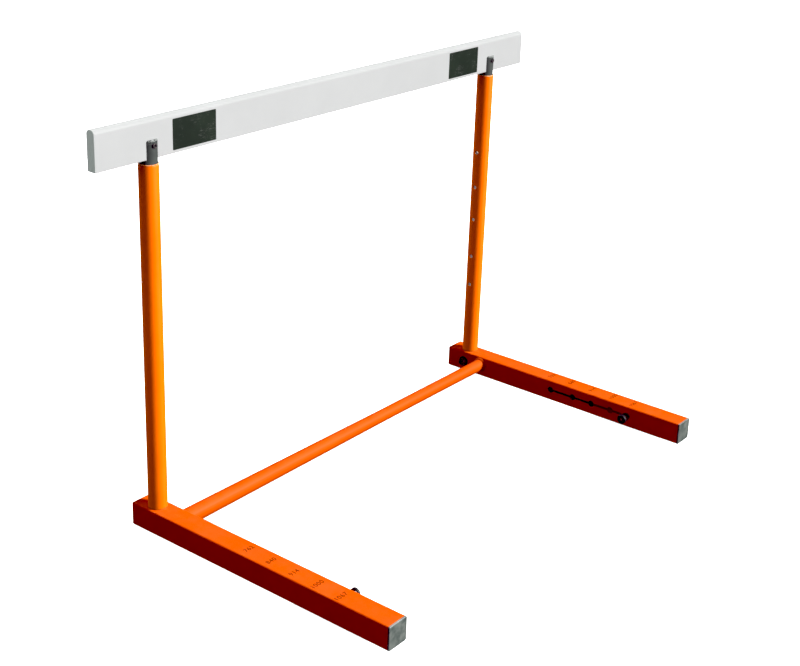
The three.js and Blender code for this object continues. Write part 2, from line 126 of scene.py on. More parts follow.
def piece(name, shape, material, body, nodes=()):
    """Makes a mesh object at the origin from a shape, with its faces turned outwards.

    Wear is 1 on an edge, more than 1 on a rim that rubs and on the forks' ear tops, where it paints
    a highlight, 0 away from it, a little below 0 at a sleeve's darker bottom edge and -1 on a
    tube's inner wall, which isn't painted. normals holds one array for each array of faces, with a
    normal for each corner; where it is None each point gets its soft normal.
    """
    points, groups, wear, normals = shape
    if volume(points, groups) < 0:
        groups = [faces[:, ::-1] for faces in groups]
        if normals is not None:
            normals = [normal[:, ::-1] for normal in normals]
    mesh = bpy.data.meshes.new(name)
    corners = [face for faces in groups for face in faces.tolist()]
    mesh.from_pydata((points * MM).tolist(), [], corners)
    mesh.polygons.foreach_set("use_smooth", np.ones(len(mesh.polygons), bool))
    edge = mesh.attributes.new("wear", "FLOAT", "POINT")
    edge.data.foreach_set("value", wear)
    if normals is None:
        mesh.normals_split_custom_set_from_vertices(soft_normals(points, groups).tolist())
    else:
        mesh.normals_split_custom_set(np.concatenate([n.reshape(-1, 3) for n in normals]).tolist())
    mesh.materials.append(material)
    made = bpy.data.objects.new(name, mesh)
    bpy.context.scene.collection.objects.link(made)
    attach(made, body)
    if nodes:
        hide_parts(*nodes)
    return made


def pair(name, shape, material, body, node):
    """Places a side piece on both feet: X = sign * (x - FOOT_X), so sign -1 mirrors it.

    body may hold {side}, and node names the solid that the piece replaces, if it does.
    """
    points, groups, wear, normals = shape
    for side, sign in SIDES:
        flip = np.array([sign, 1.0, 1.0])
        order = slice(None) if sign > 0 else slice(None, None, -1)
        placed = (points - np.array([FOOT_X, 0, 0])) * flip
        faces = [group[:, order] for group in groups]
        turned_normals = None if normals is None else [n[:, order] * flip for n in normals]
        nodes = [f"{side}_{node}"] if node else []
        shape_here = (placed, faces, wear, turned_normals)
        piece(f"{side}_{name}", shape_here, material, body.format(side=side), nodes)


def loft(rings, closed=False):
    """Quads between successive rings of points, an array (rings, points, 3).

    A closed loft joins its last ring to its first; an open one gets a flat face at each end.
    """
    count, around = rings.shape[:2]
    index = np.arange(count * around).reshape(count, around)
    low = index if closed else index[:-1]
    high = np.roll(index, -1, axis=0) if closed else index[1:]
    quads = np.stack([low, np.roll(low, -1, 1), np.roll(high, -1, 1), high], axis=-1).reshape(-1, 4)
    groups = [quads]
    if not closed:
        groups += [index[:1, ::-1], index[-1:]]
    return rings.reshape(-1, 3), groups


def softened(profile, radius):
    """Rounds each inner corner of a profile of (radius, height) points.

    A corner p becomes the curve (1-t)^2 a + 2t(1-t) p + t^2 b, where a and b lie the given radius
    along its two sides, or 0.4 of a side's length if that is less. Returns the points and their
    wear, which is 1 on the curves.
    """
    most, steps = 0.4, 3
    profile = np.asarray(profile, float)
    inner = profile[1:-1]
    back, ahead = profile[:-2] - inner, profile[2:] - inner
    reach = [np.linalg.norm(arm, axis=1, keepdims=True) for arm in (back, ahead)]
    a, b = (
        inner + arm / size * np.minimum(radius, most * size)
        for arm, size in zip((back, ahead), reach)
    )
    t = np.linspace(0, 1, steps + 1)[None, :, None]
    curve = (1 - t) ** 2 * a[:, None] + 2 * t * (1 - t) * inner[:, None] + t**2 * b[:, None]
    points = np.concatenate([profile[:1], curve.reshape(-1, 2), profile[-1:]])
    return points, np.concatenate([[0.0], np.ones(len(points) - 2), [0.0]])


def axes(along):
    """Unit vectors u, v, w with w along the named axis and u x v = w."""
    base = {"X": (1, 2, 0), "Y": (2, 0, 1), "Z": (0, 1, 2)}[along]
    return np.eye(3)[list(base)]


def turned(profile, along, centre, segments=64, ring=None, radius=0.4, closed=False):
    """A turned shape: each profile point (r, h) is the ring centre + h w + r (u cos a + v sin a).

    ring(angle, r, h) may give the ring another radius, as on a hexagon. A profile that starts or
    ends on the axis is capped there; a closed profile joins its end to its start.
    """
    points, wear = softened(profile + profile[:1] if closed else profile, radius)
    if closed:
        points, wear = points[1:-1], wear[1:-1]
    else:
        kept = points[:, 0] > 0
        points, wear = points[kept], wear[kept]
    angle = np.arange(segments) * FULL / segments
    r, h = points[:, :1] * np.ones(segments), points[:, 1:] * np.ones(segments)
    if ring is not None:
        r = ring(angle[None, :], r, h)
    u, v, w = axes(along)
    rings = (
        np.asarray(centre, float)
        + h[..., None] * w
        + (r * np.cos(angle))[..., None] * u
        + (r * np.sin(angle))[..., None] * v
    )
    return (*loft(rings, closed), np.repeat(wear, segments), None)


def hexagon(angle, flats):
    """Polar radius of a hexagon: flats / 2 over the cosine of the angle to the nearest flat."""
    third = FULL / 6
    return flats / 2 / np.cos((angle + third / 2) % third - third / 2)


def rounded_square(width, height, corners, inset=0.0, steps=6):
    """Loop of points round a rectangle, with its own radius at each corner.

    Corner k has its centre a radius in from both sides, and gives centre + r (cos a, sin a) for a
    from k to k + 1 quarter turns. The inset shrinks the sides and the radii alike.
    """
    least = 0.02
    a = np.linspace(0, QUARTER, steps + 1)
    signs = np.array([[1, 1], [-1, 1], [-1, -1], [1, -1]])
    half = np.array([width, height]) / 2
    loops = []
    for k, (sign, corner) in enumerate(zip(signs, corners)):
        r = max(corner - inset, least)
        middle = sign * (half - max(corner, inset + least))
        loops.append(middle + r * np.stack([np.cos(a + k * QUARTER), np.sin(a + k * QUARTER)], -1))
    return np.concatenate(loops)


def stacked(layers, along, centre):
    """A shape from layers (loop, height, wear): centre + height w + x u + y v for a loop point."""
    u, v, w = axes(along)
    rings = np.stack(
        [
            np.asarray(centre, float) + height * w + loop[:, :1] * u + loop[:, 1:] * v
            for loop, height, _ in layers
        ]
    )
    wear = np.repeat([layer[2] for layer in layers], rings.shape[1])
    return (*loft(rings), wear, None)


def even_square(width, corner, inset=0.0):
    """Loop of points round a square with four equal corners."""
    return rounded_square(width, width, (corner,) * 4, inset)


# ---- pierced tubes


def hole_rows(holes, sides=10):
    """Stations along holes (centre, radius): centre + radius cos((k + 1/2) pi / sides)."""
    angle = (np.arange(sides) + 0.5) * np.pi / sides
    return np.concatenate([centre + radius * np.cos(angle) for centre, radius in holes])


def half_width(rows, holes, least):
    """Half the opening at each station, the widest of the chords sqrt(radius^2 - distance^2)."""
    chords = [np.sqrt(np.clip(r**2 - (rows - c) ** 2, 0, None)) for c, r in holes]
    return np.maximum(np.max(chords, axis=0), least)


def parted(columns, line, reach, half, least):
    """Moves columns away from a line so that the two beside it lie half apart on each side of it.

    A column at distance d from the line, least <= d <= reach, goes to
    half + (d - least) (reach - half) / (reach - least).
    """
    away = columns - line
    d = np.abs(away)
    moved = half + (d - least) * (reach - half) / (reach - least)
    inside = (d <= reach) & (d >= least - TINY)
    return np.where(inside, line + np.sign(away) * moved, columns)


def shell(rows, columns, present, place, wall, bevel, around):
    """A tube wall from a grid of cells, open where a cell isn't present.

    rows, as (n, 1) or (n, m), and columns (n, m) are places along and around it; place(row, column,
    depth) gives points, normals and the two surface directions. At an open edge the wall turns in
    with a bevel: each edge point moves by the bevel into the opening, along the mean of its two
    edges' normals, and down by the same amount.
    """
    rows = rows + 0 * columns
    n, m = rows.shape
    index = np.arange(n * m).reshape(n, m)
    beyond = np.roll(columns, -1, axis=1)
    beyond[:, -1] += around
    rows_beyond = np.roll(rows, -1, axis=1)
    a, b = index[:-1], np.roll(index, -1, 1)[:-1]
    c, d = np.roll(index, -1, 1)[1:], index[1:]
    gone = ~present
    before = np.concatenate([np.ones((1, m), bool), gone[:-1]])
    after = np.concatenate([gone[1:], np.ones((1, m), bool)])
    previous, following = np.roll(gone, 1, 1), np.roll(gone, -1, 1)

    row_step = rows_beyond - rows
    column_step = beyond - columns
    rise, drift = np.diff(rows, axis=0), np.diff(columns, axis=0)
    rise_next, drift_next = np.roll(rise, -1, 1), np.roll(drift, -1, 1)
    edges = [
        (present & before, a, b, -column_step[:-1], row_step[:-1]),
        (present & following, b, c, -drift_next, rise_next),
        (present & after, c, d, column_step[1:], -row_step[1:]),
        (present & previous, d, a, drift, -rise),
    ]
    push = np.zeros((n * m, 2))
    walls = []
    for chosen, start, end, along_row, along_column in edges:
        out = unit(np.stack([along_row[chosen], along_column[chosen]], axis=-1))
        for ends in (start[chosen], end[chosen]):
            np.add.at(push, ends, out)
        walls.append(np.stack([end[chosen], start[chosen]], axis=-1))
    walls = np.concatenate(walls)
    size = np.maximum((push**2).sum(axis=1, keepdims=True), TINY)
    on_edge = (np.abs(push).sum(axis=1) > TINY).reshape(n, m)
    push = 2 * push / size
    push_row, push_column = push[:, 0].reshape(n, m), push[:, 1].reshape(n, m)

    outer, normal, ahead, aside = place(rows, columns, 0.0)
    rim_rows, rim_columns = rows + bevel * push_row, columns + bevel * push_column
    rim = place(rim_rows, rim_columns, bevel)[0]
    inner = place(rim_rows, rim_columns, wall)[0]
    lean = unit(push_row[..., None] * ahead + push_column[..., None] * aside)

    total = n * m
    points = np.concatenate([p.reshape(-1, 3) for p in (outer, rim, inner)])
    normal, lean = normal.reshape(-1, 3), lean.reshape(-1, 3)
    cells = np.stack([a, b, c, d], axis=-1)[present]
    bevels = np.concatenate([walls, walls[:, ::-1] + total], axis=1)
    sides = np.concatenate([walls + total, walls[:, ::-1] + 2 * total], axis=1)
    faces = [cells, cells[:, ::-1] + 2 * total, bevels, sides]
    corner_normals = [
        normal[cells],
        -normal[cells[:, ::-1]],
        np.concatenate([normal[walls], lean[walls[:, ::-1]]], axis=1),
        np.concatenate([lean[walls], lean[walls[:, ::-1]]], axis=1),
    ]
    wear = np.concatenate([on_edge.ravel(), on_edge.ravel(), -np.ones(total)]).astype(float)

    used, place_of = np.unique(np.concatenate([f.ravel() for f in faces]), return_inverse=True)
    sizes = np.cumsum([0] + [f.size for f in faces])
    faces = [place_of[s:e].reshape(-1, 4) for s, e in zip(sizes[:-1], sizes[1:])]
    return points[used], faces, wear[used], corner_normals


def round_wall(radius, centre_y):
    """place() for an upright round tube: column / radius is the angle from the inward direction."""

    def place(row, column, depth):
        angle = column / radius
        zero, one = np.zeros_like(angle), np.ones_like(angle)
        normal = np.stack([np.cos(angle), np.sin(angle), zero], axis=-1)
        aside = np.stack([-np.sin(angle), np.cos(angle), zero], axis=-1)
        ahead = np.stack([zero, zero, one], axis=-1)
        points = (radius - depth) * normal + row[..., None] * ahead
        return points + np.array([0, centre_y, 0.0]), normal, ahead, aside

    return place


def square_wall(width, corner):
    """place() for a square tube along Y; column runs round it from the inner face's middle.

    The four sides are alike: a flat of width - 2 corner and a quarter round, turned by k quarters.
    """
    flat = width - 2 * corner
    side = flat + corner * QUARTER

    def place(row, column, depth):
        k = np.floor((column + flat / 2) / side)
        local = column + flat / 2 - k * side
        angle = np.clip((local - flat) / corner, 0, None)
        x = np.where(local < flat, width / 2 - depth, flat / 2 + (corner - depth) * np.cos(angle))
        z = np.where(local < flat, local - flat / 2, flat / 2 + (corner - depth) * np.sin(angle))
        turn = k * QUARTER
        cos, sin, zero = np.cos(turn), np.sin(turn), np.zeros_like(turn)
        points = np.stack([x * cos - z * sin, row, x * sin + z * cos + width / 2], axis=-1)
        normal = np.stack([np.cos(angle + turn), zero, np.sin(angle + turn)], axis=-1)
        aside = np.stack([-np.sin(angle + turn), zero, np.cos(angle + turn)], axis=-1)
        ahead = np.stack([zero, zero + 1, zero], axis=-1)
        return points, normal, ahead, aside

    return place


def in_holes(rows, holes):
    """Which gaps between successive stations lie in one of the holes (centre, radius)."""
    middles = (rows[:-1] + rows[1:]) / 2
    return np.any([np.abs(middles - centre) < radius for centre, radius in holes], axis=0)


def pierced_round(radius, wall, low, high, holes, bevel=0.35):
    """An upright tube with round holes (height, radius) in its inner side.

    The columns beside the holes' line part round each hole, and rows lie close to the tube's ends
    and to each hole, so that wear stays near an edge.
    """
    end_row, hole_row, segments = 4, 1.0, 72
    around = FULL * radius
    holes = [(height, hole + bevel) for height, hole in holes]
    least = 0.12 * max(hole for _, hole in holes)
    reach = min(0.6 * radius, 9.0)
    rows = [low + bevel, low + end_row, high - end_row, high - bevel]
    rows += [height + side * (hole + hole_row) for height, hole in holes for side in (-1, 1)]
    rows = np.unique(np.round(np.concatenate([rows, hole_rows(holes)]), 5))
    zone = np.linspace(least, reach, 4)
    rest = np.linspace(reach, around - reach, int(segments * (1 - 2 * reach / around)))[1:-1]
    columns = np.concatenate([-zone[::-1], zone, rest])
    half = half_width(rows, holes, least)[:, None]
    columns = parted(columns[None, :], 0.0, reach, half, least)
    present = np.ones((len(rows) - 1, columns.shape[1]), bool)
    present[in_holes(rows, holes), len(zone) - 1] = False
    return shell(rows[:, None], columns, present, round_wall(radius, POST_Y), wall, bevel, around)


def pierced_foot():
    """The square foot tube with its notched slot, its bolt hole and the upright's hole.

    The slot is as high as the widest of its round ends, its notches and its own straight part. The
    columns beside its line part by that, and beyond bolt_from, round the bolt's hole instead.
    """
    bevel = 0.4
    inner_least, inner_reach = 0.4, 13.0
    top_least, top_reach = 0.8, 18.5
    bolt_from = 200
    end_row, slot_row, hole_row, row_gap = 4, 1.5, 1.0, 0.05
    side = FOOT - 2 * FOOT_CORNER + FOOT_CORNER * QUARTER
    slot_half, notch = SLOT_HALF + bevel, NOTCH_R + bevel
    ends = [(SLOT_ENDS[0] + SLOT_HALF, slot_half), (SLOT_ENDS[1] - SLOT_HALF, slot_half)]
    bolt = (POST_Y, POST_BOLT_HOLE_R + bevel)
    top_hole = (POST_Y, POST_R + POST_GAP + bevel)
    cut = np.arcsin(slot_half / notch)
    arc = np.cos(np.linspace(cut, np.pi - cut, 11)) * notch
    low_end, high_end = hole_rows(ends[:1]), hole_rows(ends[1:])
    toe = TOE + PLUG_FLANGE
    rows = np.concatenate(
        [
            [toe + bevel, toe + end_row, HEEL - end_row, HEEL - bevel],
            low_end[low_end < ends[0][0]],
            high_end[high_end > ends[1][0]],
            (np.array(NOTCH_Y)[:, None] + arc).ravel(),
            hole_rows([bolt]),
            hole_rows([top_hole], 16),
            [SLOT_ENDS[0] - slot_row, SLOT_ENDS[1] + slot_row],
            [bolt[0] - bolt[1] - hole_row, bolt[0] + bolt[1] + hole_row],
        ]
    )
    rows = rows[(rows > TOE) & (rows < HEEL)]
    rows = np.unique(np.round(rows, 4))
    rows = rows[np.concatenate([[True], np.diff(rows) > row_gap])]
    between = (rows >= ends[0][0]) & (rows <= ends[1][0])
    slot = half_width(rows, ends + [(y, notch) for y in NOTCH_Y], inner_least)
    slot = np.maximum(slot, np.where(between, slot_half, 0))
    by_bolt = rows > bolt_from
    slot = np.where(by_bolt, half_width(rows, [bolt], inner_least), slot)[:, None]
    line = np.where(by_bolt, POST_BOLT_Z, SLOT_Z)[:, None] - FOOT_MIDDLE
    top = half_width(rows, [top_hole], top_least)[:, None]

    inner_zone = np.array([inner_least, 3.5, 7.0, 10.0, inner_reach])
    top_zone = np.array([top_least, 6.0, 12.0, top_reach])
    corner = np.linspace(0, FOOT_CORNER * QUARTER, 7)
    flat = FOOT - 2 * FOOT_CORNER
    corners = [k * side + flat / 2 + corner for k in range(4)]
    base = SLOT_Z - FOOT_MIDDLE
    inner = [base - inner_zone[::-1], base + inner_zone, corners[0]]
    upper = [side - top_zone[::-1], side + top_zone, corners[1]]
    columns = np.concatenate(inner + upper + corners[2:])
    count = len(columns)
    gap_inner = len(inner_zone) - 1
    gap_top = 2 * len(inner_zone) + len(corner) + len(top_zone) - 1
    first = np.arange(count) < 2 * len(inner_zone)
    columns = columns[None, :] + np.where(first, line - base, 0)
    columns = np.where(first, parted(columns, line, inner_reach, slot, inner_least), columns)
    columns = np.where(first, columns, parted(columns, side, top_reach, top, top_least))

    present = np.ones((len(rows) - 1, count), bool)
    slot_low, slot_high = ends[0][0] - slot_half, ends[1][0] + slot_half
    whole_slot = ((slot_low + slot_high) / 2, (slot_high - slot_low) / 2)
    present[in_holes(rows, [whole_slot, bolt]), gap_inner] = False
    present[in_holes(rows, [top_hole]), gap_top] = False
    wall = square_wall(FOOT, FOOT_CORNER)
    return shell(rows[:, None], columns, present, wall, FOOT_WALL, bevel, 4 * side)


def fork_wall():
    """The fork: a round tube whose front and back run on upwards as two ears with round corners.

    Above the slot's floor only the ears' cells are present. There a row at height z goes to
    floor + (z - floor) (top(x) - floor) / (highest - floor), where top(x) follows the ear's corner.
    """
    bevel, least, reach, near = 0.45, 0.5, 6.5, 7.5
    around = FULL * FORK_R
    quarter = around / 4
    chord = np.sqrt(FORK_R**2 - (BAR_THICKNESS / 2) ** 2) - bevel
    ear = FORK_R * np.arcsin(chord / FORK_R)
    hole = (BOLT_Z, BAR_BOLT_HOLE_R + bevel)
    floor, highest = BAR_LOW - bevel, FORK_HIGH - bevel
    zone = np.concatenate([[least], np.linspace(3.0, reach, 2), np.linspace(8, ear, 7)])
    gap = np.linspace(ear, 2 * quarter - ear, 9)[1:-1]
    columns = np.concatenate([-zone[::-1], zone, gap, 2 * quarter - zone[::-1], 2 * quarter + zone])
    columns = np.concatenate([columns, 2 * quarter + gap]) - quarter
    below = [FORK_LOW + bevel, FORK_LOW + 3, BAR_LOW - 9, floor, BAR_LOW + 4]
    above = [FORK_HIGH - 4.5, FORK_HIGH - 2.5, highest]
    rows = np.unique(np.concatenate([below, hole_rows([hole]), above]))
    half = half_width(rows, [hole], least)[:, None]
    columns = columns[None, :] + 0 * half
    for line in (-quarter, quarter):
        beside = np.abs(columns - line) < near
        columns = np.where(beside, parted(columns, line, reach, half, least), columns)
    x = np.abs(FORK_R * np.cos(columns / FORK_R))
    over = np.clip(x - (chord + bevel - EAR_CORNER), 0, EAR_CORNER - 0.02)
    top = highest - (EAR_CORNER - np.sqrt(EAR_CORNER**2 - over**2))
    grid_rows = rows[:, None] + 0 * columns
    share = (top - floor) / (highest - floor)
    grid_rows = np.where(grid_rows > floor, floor + (grid_rows - floor) * share, grid_rows)
    first, second = len(zone) - 1, 3 * len(zone) + len(gap) - 1
    ears = np.zeros(columns.shape[1], bool)
    for middle in (first, second):
        ears[middle - first : middle + len(zone)] = True
    middles = (rows[:-1] + rows[1:]) / 2
    present = np.ones((len(rows) - 1, columns.shape[1]), bool)
    present[middles > floor] = ears
    open_rows = in_holes(rows, [hole])
    present[open_rows, first] = False
    present[open_rows, second] = False
    wall = round_wall(FORK_R, POST_Y)
    return shell(grid_rows, columns, present, wall, FORK_WALL, bevel, around)


# ---- node groups


def new_group(name, inputs, outputs):
    """A shader node group with its named sockets; returns the group, its input and output nodes."""
    group = bpy.data.node_groups.new(name, "ShaderNodeTree")
    for label, kind, value in inputs:
        socket = group.interface.new_socket(label, in_out="INPUT", socket_type=f"NodeSocket{kind}")
        socket.default_value = value
    for label, kind in outputs:
        group.interface.new_socket(label, in_out="OUTPUT", socket_type=f"NodeSocket{kind}")
    return group, group.nodes.new("NodeGroupInput"), group.nodes.new("NodeGroupOutput")


def wire(tree, source, target):
    """Links an output socket to an input, or sets the input where the source is a plain value."""
    if isinstance(source, bpy.types.NodeSocket):
        tree.links.new(source, target)
    else:
        target.default_value = source


def math(tree, operation, *values, clamp=False):
    """A Math node and its result."""
    node = tree.nodes.new("ShaderNodeMath")
    node.operation = operation
    node.use_clamp = clamp
    for socket, value in zip(node.inputs, values):
        wire(tree, value, socket)
    return node.outputs[0]


def noise(tree, vector, scale, detail=3.0, roughness=0.55, distortion=0.0):
    """A Noise Texture and its grey value."""
    node = tree.nodes.new("ShaderNodeTexNoise")
    wire(tree, vector, node.inputs["Vector"])
    wire(tree, scale, node.inputs["Scale"])
    node.inputs["Detail"].default_value = detail
    node.inputs["Roughness"].default_value = roughness
    node.inputs["Distortion"].default_value = distortion
    return node.outputs["Fac"]


def remap(tree, value, low, high):
    """Maps low..high to 0..1 with a smooth step."""
    node = tree.nodes.new("ShaderNodeMapRange")
    node.interpolation_type = "SMOOTHSTEP"
    for socket, entry in zip(node.inputs, (value, low, high)):
        wire(tree, entry, socket)
    return node.outputs[0]


def blended(tree, mask, first, second):
    """A colour mix by the mask from first to second, its inputs 6 and 7, with output 2."""
    node = tree.nodes.new("ShaderNodeMix")
    node.data_type = "RGBA"
    for socket, entry in ((0, mask), (6, first), (7, second)):
        wire(tree, entry, node.inputs[socket])
    return node.outputs[2]


def object_coordinates(tree, scale=(1.0, 1.0, 1.0), turn=(0.0, 0.0, 0.0)):
    """Object coordinates, stretched and turned by a Mapping node."""
    place = tree.nodes.new("ShaderNodeTexCoord")
    mapping = tree.nodes.new("ShaderNodeMapping")
    mapping.inputs["Scale"].default_value = scale
    mapping.inputs["Rotation"].default_value = turn
    tree.links.new(place.outputs["Object"], mapping.inputs["Vector"])
    return mapping.outputs["Vector"]


def new_mask(name):
    """A group that gives a mask times its amount; returns it and the function that ends it."""
    group, inlet, outlet = new_group(name, [("Amount", "Float", 1.0)], [("Mask", "Float")])

    def end(value):
        mask = math(group, "MULTIPLY", value, inlet.outputs["Amount"], clamp=True)
        wire(group, mask, outlet.inputs["Mask"])
        return group

    return group, end


def wear_value(tree):
    """The wear attribute of the meshes."""
    node = tree.nodes.new("ShaderNodeAttribute")
    node.attribute_name = "wear"
    return node.outputs["Fac"]


def make_edge_wear_and_glints():
    """Mask of edges, for wear and painted glints: the wear attribute, broken up by two sizes of
    noise.

    Up to 1 the wear comes in patches; above 1, on the rims that rub most and on the forks' ear
    tops, where it paints a highlight, it fills in.
    """
    group, end = new_mask("edge wear")
    place = object_coordinates(group)
    patches = remap(group, noise(group, place, 45.0, 2.0), 0.4, 0.65)
    specks = noise(group, place, 400.0, 4.0, 0.7)
    broken = math(group, "MULTIPLY", patches, remap(group, specks, 0.42, 0.6))
    near = math(group, "POWER", wear_value(group), 3.0)
    rubbed = math(group, "SUBTRACT", near, 1.0, clamp=True)
    bare = math(group, "MULTIPLY", rubbed, remap(group, specks, 0.42, 0.54))
    patchy = math(group, "MULTIPLY", near, broken)
    return end(math(group, "MAXIMUM", patchy, bare))


def make_inner_wall():
    """Mask where the wear attribute is below 0: a tube's bare inner wall, and a sleeve's darker
    bottom ring.
    """
    group, end = new_mask("inner wall")
    return end(math(group, "MULTIPLY", wear_value(group), -4.0, clamp=True))


def make_grain():
    """Fine relief and uneven gloss of a sprayed, moulded or rolled surface."""
    group, inlet, outlet = new_group(
        "surface grain",
        [
            ("Scale", "Float", 900.0),
            ("Stretch", "Vector", (1.0, 1.0, 1.0)),
            ("Roughness", "Float", 0.4),
            ("Clouds", "Float", 14.0),
        ],
        [("Roughness", "Float"), ("Height", "Float"), ("Cloud", "Float")],
    )
    place = group.nodes.new("ShaderNodeTexCoord")
    stretch = group.nodes.new("ShaderNodeVectorMath")
    stretch.operation = "MULTIPLY"
    group.links.new(place.outputs["Object"], stretch.inputs[0])
    group.links.new(inlet.outputs["Stretch"], stretch.inputs[1])
    fine = noise(group, stretch.outputs[0], inlet.outputs["Scale"], 3.0, 0.5)
    cloud = noise(group, place.outputs["Object"], inlet.outputs["Clouds"], 4.0, 0.6)
    swing = math(group, "SUBTRACT", cloud, 0.5)
    tooth = math(group, "SUBTRACT", fine, 0.5)
    both = math(group, "ADD", swing, math(group, "MULTIPLY", tooth, 0.6))
    uneven = math(group, "MULTIPLY", both, 0.12)
    rough = math(group, "ADD", inlet.outputs["Roughness"], uneven)
    wire(group, rough, outlet.inputs["Roughness"])
    wire(group, fine, outlet.inputs["Height"])
    wire(group, cloud, outlet.inputs["Cloud"])
    return group


def make_dust():
    """Mask of dust that lies on faces which look up, thicker in patches."""
    group, end = new_mask("settled dust")
    shape = group.nodes.new("ShaderNodeNewGeometry")
    split = group.nodes.new("ShaderNodeSeparateXYZ")
    group.links.new(shape.outputs["Normal"], split.inputs[0])
    up = remap(group, split.outputs["Z"], 0.55, 1.0)
    place = object_coordinates(group)
    patches = remap(group, noise(group, place, 30.0, 5.0, 0.65), 0.35, 0.75)
    specks = remap(group, noise(group, place, 1500.0, 2.0), 0.55, 0.75)
    thick = math(group, "ADD", math(group, "MULTIPLY", patches, 0.5), specks)
    return end(math(group, "MULTIPLY", up, thick))


def make_scratches():
    """Mask of fine scratches: thin ridges of noise stretched along two leaning directions."""
    group, end = new_mask("fine scratches")
    width = 0.012
    lines = []
    for turn in ((0.3, 0.2, 0.5), (-0.4, 0.9, -0.7)):
        place = object_coordinates(group, (1.0, 1.0, 9.0), turn)
        ridge = noise(group, place, 40.0, 1.0, 0.4, 0.3)
        away = math(group, "ABSOLUTE", math(group, "SUBTRACT", ridge, 0.5))
        lines.append(remap(group, away, width, 0.0))
    gate = remap(group, noise(group, object_coordinates(group), 55.0, 2.0), 0.5, 0.66)
    return end(math(group, "MULTIPLY", math(group, "MAXIMUM", *lines), gate))


EDGE_WEAR_AND_GLINTS = make_edge_wear_and_glints()
INNER_WALL = make_inner_wall()
GRAIN = make_grain()
DUST = make_dust()
SCRATCHES = make_scratches()
WALL_COLOUR = (0.035, 0.032, 0.030)
DUST_COLOUR = (0.55, 0.52, 0.48)
SCRATCH_COLOUR = (0.7, 0.7, 0.68)


def use_group(tree, group, **values):
    """Places a group in a material with its own values."""
    node = tree.nodes.new("ShaderNodeGroup")
    node.node_tree = group
    for label, value in values.items():
        wire(tree, value, node.inputs[label])
    return node.outputs


def finish(
    name,
    colour,
    second,
    rough,
    metallic=0.0,
    specular=0.5,
    grain=900.0,
    stretch=(1.0, 1.0, 1.0),
    clouds=14.0,
    relief=0.02,
    scratches=0.0,
    wear=0.0,
    edge_colour=None,
    inner_wall=0.0,
    dust=0.0,
):
    """A material whose colour drifts between two shades, with grain and up to four masks on it.

    The masks lie over one another in this order: scratches, edge wear in the edge colour, which on
    some finishes also paints glints and highlights on the edges, a tube's bare inner wall, and
    dust.
    """
    made = bpy.data.materials.new(name)
    made.use_nodes = True
    tree = made.node_tree
    shader = tree.nodes["Principled BSDF"]
    grained = use_group(tree, GRAIN, Scale=grain, Stretch=stretch, Roughness=rough, Clouds=clouds)
    shade = blended(tree, remap(tree, grained["Cloud"], 0.3, 0.7), (*colour, 1.0), (*second, 1.0))
    masks = (
        (SCRATCHES, scratches, SCRATCH_COLOUR),
        (EDGE_WEAR_AND_GLINTS, wear, edge_colour),
        (INNER_WALL, inner_wall, WALL_COLOUR),
        (DUST, dust, DUST_COLOUR),
    )
    for group, amount, over in masks:
        if amount:
            mask = use_group(tree, group, Amount=amount)["Mask"]
            shade = blended(tree, mask, shade, (*over, 1.0))
    tree.links.new(shade, shader.inputs["Base Color"])
    tree.links.new(grained["Roughness"], shader.inputs["Roughness"])
    shader.inputs["Metallic"].default_value = metallic
    shader.inputs["Specular IOR Level"].default_value = specular
    bump = tree.nodes.new("ShaderNodeBump")
    bump.inputs["Strength"].default_value = 0.5
    bump.inputs["Distance"].default_value = relief * MM
    tree.links.new(grained["Height"], bump.inputs["Height"])
    tree.links.new(bump.outputs["Normal"], shader.inputs["Normal"])
    return made


# ---- finishes

COAT = dict(grain=420.0, relief=0.05, inner_wall=1.0)
ORANGE = finish(
    "orange powder coat",
    (0.90, 0.122, 0.005),
    (0.94, 0.132, 0.006),
    0.50,
    specular=0.12,
    wear=0.35,
    edge_colour=(1.0, 0.30, 0.05),
    dust=0.05,
    **COAT,
)
# The same powder coat as the feet; its yellower orange is painted light, for the brighter light on
# the uprights.
UPRIGHT_ORANGE_PAINTED_LIGHTER = finish(
    "orange gloss on the uprights",
    (0.90, 0.150, 0.003),
    (0.94, 0.162, 0.004),
    0.34,
    specular=0.13,
    wear=0.8,
    edge_colour=(1.0, 0.62, 0.35),
    **COAT,
)
BOARD = finish(
    "light grey board",
    (0.79, 0.79, 0.79),
    (0.81, 0.81, 0.81),
    0.42,
    grain=700.0,
    stretch=(0.15, 1.0, 1.0),
    relief=0.03,
    dust=0.05,
)
DARK_SHEET = finish(
    "dark panel sheet",
    (0.021, 0.039, 0.022),
    (0.028, 0.050, 0.028),
    0.5,
    grain=1100.0,
    relief=0.03,
    scratches=0.22,
)
# Its light worn colour is wear on the edges, and on the ears' tops a painted highlight band.
DARK_STEEL = finish(
    "dark fork steel",
    (0.052, 0.063, 0.055),
    (0.088, 0.103, 0.092),
    0.6,
    specular=0.15,
    grain=800.0,
    stretch=(1.0, 1.0, 0.2),
    relief=0.03,
    scratches=0.2,
    wear=1.0,
    edge_colour=(0.44, 0.47, 0.45),
)
POST_STEEL = finish(
    "galvanised post steel",
    (0.42, 0.43, 0.44),
    (0.50, 0.51, 0.52),
    0.38,
    metallic=0.9,
    stretch=(1.0, 1.0, 0.1),
)
BLACK_PLASTIC = finish(
    "black moulded plastic",
    (0.020, 0.021, 0.022),
    (0.028, 0.029, 0.030),
    0.45,
    grain=1500.0,
    relief=0.04,
)
# On the plug's soft edge its light worn colour is partly scuffing and partly a painted highlight.
GREY_PLASTIC = finish(
    "grey moulded plastic",
    (0.079, 0.103, 0.090),
    (0.184, 0.207, 0.187),
    0.5,
    grain=1300.0,
    clouds=75.0,
    relief=0.05,
    wear=0.8,
    edge_colour=(0.36, 0.43, 0.45),
    dust=1.4,
)
